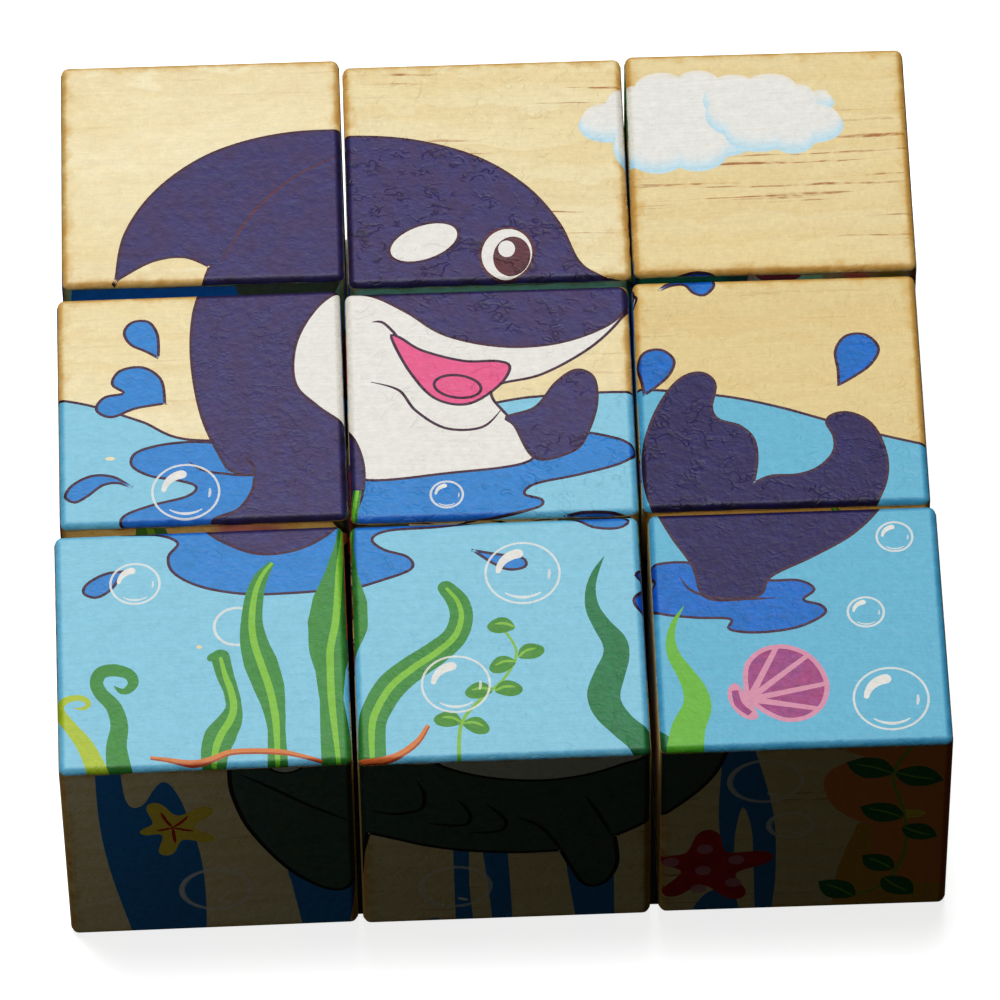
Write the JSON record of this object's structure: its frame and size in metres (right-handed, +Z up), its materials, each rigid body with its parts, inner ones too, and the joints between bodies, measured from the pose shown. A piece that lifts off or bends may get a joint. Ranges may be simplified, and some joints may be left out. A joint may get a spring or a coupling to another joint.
{
  "type": "picture block puzzle",
  "caption": "Loose square of pine cubes with printed film on every face; rolling all the cubes the same way shows another sea picture.",
  "frame": {"origin": "centre of the square of cubes, on the floor they stand on", "axes": "+Z up, -Y towards the front of the square, +X to the right"},
  "size_m": [0.107, 0.1078, 0.035],
  "materials": {
    "bare_pine": "sanded pine, satin clear coat, grain along X, golden brown along the rounded edges",
    "whale_picture": "satin heat-transfer film on wood, blue sea, navy whale, green kelp, bare wood as the sky",
    "octopus_picture": "satin heat-transfer film on wood, violet octopus, shells and sand, bare wood between",
    "seal_picture": "satin heat-transfer film on wood, dark seal, starfish, blue kelp, bare wood between",
    "turtle_picture": "satin heat-transfer film on wood, green turtle, weed and rocks, bare wood between",
    "reef_pictures": "satin heat-transfer film on wood, crab on the left faces, reef fish on the right faces"
  },
  "bodies": {
    "back_left_cube": {"back_left_wood": "bare_pine", "back_left_top_print": "whale_picture", "back_left_bottom_print": "octopus_picture", "back_left_front_print": "seal_picture", "back_left_back_print": "turtle_picture", "back_left_side_prints": "reef_pictures"},
    "back_middle_cube": {"back_middle_wood": "bare_pine", "back_middle_top_print": "whale_picture", "back_middle_bottom_print": "octopus_picture", "back_middle_front_print": "seal_picture", "back_middle_back_print": "turtle_picture", "back_middle_side_prints": "reef_pictures"},
    "back_right_cube": {"back_right_wood": "bare_pine", "back_right_top_print": "whale_picture", "back_right_bottom_print": "octopus_picture", "back_right_front_print": "seal_picture", "back_right_back_print": "turtle_picture", "back_right_side_prints": "reef_pictures"},
    "middle_left_cube": {"middle_left_wood": "bare_pine", "middle_left_top_print": "whale_picture", "middle_left_bottom_print": "octopus_picture", "middle_left_front_print": "seal_picture", "middle_left_back_print": "turtle_picture", "middle_left_side_prints": "reef_pictures"},
    "center_cube": {"center_wood": "bare_pine", "center_top_print": "whale_picture", "center_bottom_print": "octopus_picture", "center_front_print": "seal_picture", "center_back_print": "turtle_picture", "center_side_prints": "reef_pictures"},
    "middle_right_cube": {"middle_right_wood": "bare_pine", "middle_right_top_print": "whale_picture", "middle_right_bottom_print": "octopus_picture", "middle_right_front_print": "seal_picture", "middle_right_back_print": "turtle_picture", "middle_right_side_prints": "reef_pictures"},
    "front_left_cube": {"front_left_wood": "bare_pine", "front_left_top_print": "whale_picture", "front_left_bottom_print": "octopus_picture", "front_left_front_print": "seal_picture", "front_left_back_print": "turtle_picture", "front_left_side_prints": "reef_pictures"},
    "front_middle_cube": {"front_middle_wood": "bare_pine", "front_middle_top_print": "whale_picture", "front_middle_bottom_print": "octopus_picture", "front_middle_front_print": "seal_picture", "front_middle_back_print": "turtle_picture", "front_middle_side_prints": "reef_pictures"},
    "front_right_cube": {"front_right_wood": "bare_pine", "front_right_top_print": "whale_picture", "front_right_bottom_print": "octopus_picture", "front_right_front_print": "seal_picture", "front_right_back_print": "turtle_picture", "front_right_side_prints": "reef_pictures"}
  },
  "joints": [
    {"name": "roll_back_left", "type": "hinge", "parent": "center_cube", "child": "back_left_cube", "pos_m": [-0.03476, 0.05255, 0.0013], "axis": [-1, 0.0026, 0], "range_deg": [0, 90]},
    {"name": "roll_back_middle", "type": "hinge", "parent": "center_cube", "child": "back_middle_cube", "pos_m": [0.00058, 0.05125, 0.0013], "axis": [-1, 0.0017, 0], "range_deg": [0, 90]},
    {"name": "roll_back_right", "type": "hinge", "parent": "center_cube", "child": "back_right_cube", "pos_m": [0.03601, 0.05145, 0.0013], "axis": [-1, 0.007, 0], "range_deg": [0, 90]},
    {"name": "roll_middle_left", "type": "hinge", "parent": "center_cube", "child": "middle_left_cube", "pos_m": [-0.0516, -0.00032, 0.0013], "axis": [0.0044, -1, 0], "range_deg": [0, 90]},
    {"name": "roll_middle_right", "type": "hinge", "parent": "center_cube", "child": "middle_right_cube", "pos_m": [0.05155, -0.00067, 0.0013], "axis": [0.0044, 1, 0], "range_deg": [0, 90]},
    {"name": "roll_front_left", "type": "hinge", "parent": "center_cube", "child": "front_left_cube", "pos_m": [-0.03569, -0.0524, 0.0013], "axis": [1, 0.0096, 0], "range_deg": [0, 90]},
    {"name": "roll_front_middle", "type": "hinge", "parent": "center_cube", "child": "front_middle_cube", "pos_m": [-0.00014, -0.0524, 0.0013], "axis": [1, 0.0035, 0], "range_deg": [0, 90]},
    {"name": "roll_front_right", "type": "hinge", "parent": "center_cube", "child": "front_right_cube", "pos_m": [0.03585, -0.0522, 0.0013], "axis": [1, 0, 0], "range_deg": [0, 90]}
  ]
}
